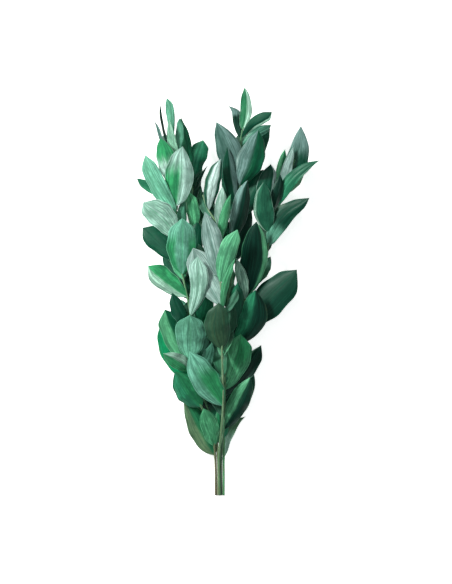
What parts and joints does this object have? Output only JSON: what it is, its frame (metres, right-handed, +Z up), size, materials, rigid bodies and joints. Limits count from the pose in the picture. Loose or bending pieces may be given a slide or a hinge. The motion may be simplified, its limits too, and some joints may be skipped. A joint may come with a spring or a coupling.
{
  "type": "bunch of dried ruscus stems",
  "caption": "Bunch of five dried, preserved green ruscus stems with broad pointed leaves, lying on a surface.",
  "frame": {"origin": "on the surface that the bunch lies on, below the middle of its length and width", "axes": "+Y along the bunch from the cut ends to the leaf tips, +Z up from the surface, +X to the right when the bunch is seen from above with its tips pointing away"},
  "size_m": [0.2722, 0.6143, 0.1123],
  "materials": {
    "foliage_left": "satin, preserved leaf, bright green to mint",
    "foliage_left_rear": "satin, preserved leaf, dark green",
    "foliage_middle_left": "satin, preserved leaf, pale mint to grey-green",
    "foliage_centre": "satin, preserved leaf, grey-teal",
    "foliage_right": "satin, preserved leaf, bottle green"
  },
  "bodies": {
    "root": {"stem_left": "foliage_left", "stem_left_rear": "foliage_left_rear", "stem_middle_left": "foliage_middle_left", "stem_centre": "foliage_centre", "stem_right": "foliage_right"}
  },
  "joints": []
}
